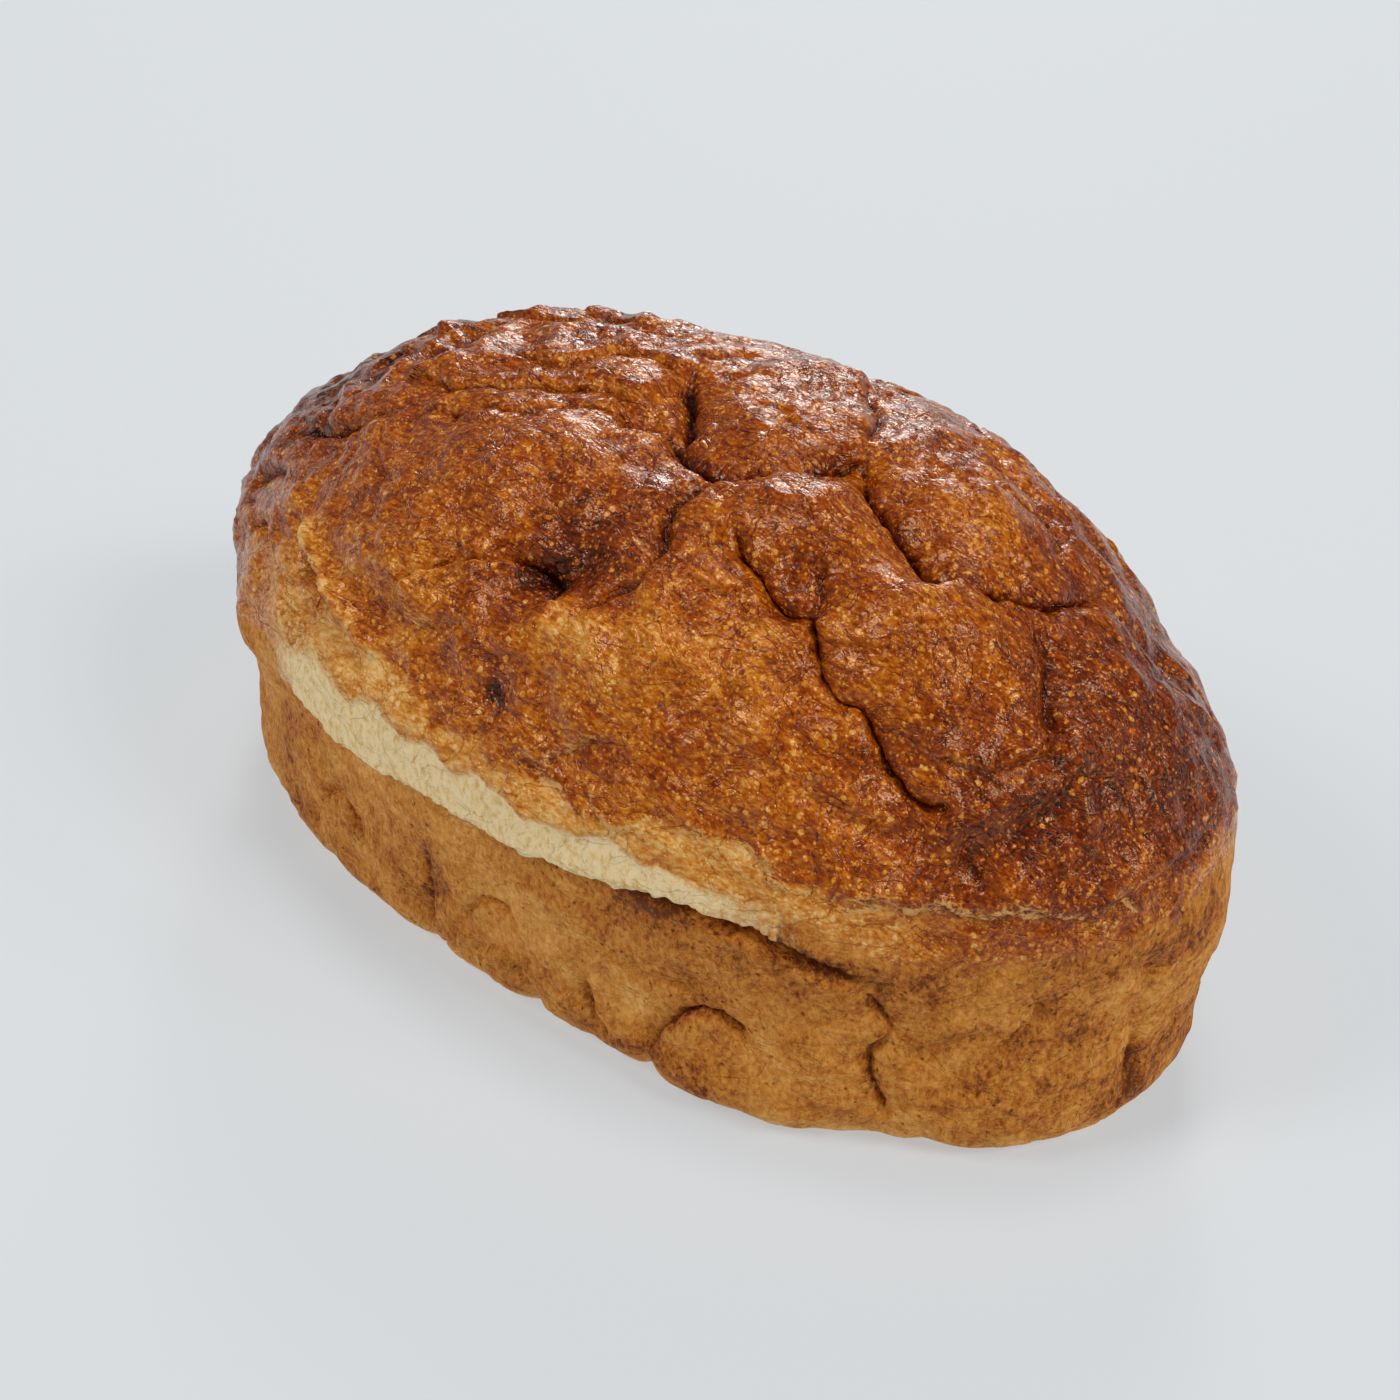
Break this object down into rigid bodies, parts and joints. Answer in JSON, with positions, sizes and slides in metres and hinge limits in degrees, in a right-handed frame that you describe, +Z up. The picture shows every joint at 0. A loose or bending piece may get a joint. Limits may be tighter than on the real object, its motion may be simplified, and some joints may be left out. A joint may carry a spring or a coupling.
{
  "type": "corn bread loaf",
  "caption": "Whole oval tin loaf with a browned, wrinkled top crust, a torn pale crumb band along the side and a flat base.",
  "frame": {"origin": "centre of the loaf's box at its flat base", "axes": "+X along the length towards the end with the higher, darker top, +Y towards the side without the wide pale tear, +Z up"},
  "size_m": [0.2505, 0.1422, 0.1157],
  "materials": {
    "crust": null
  },
  "bodies": {
    "root": {"loaf": "crust"}
  },
  "joints": []
}
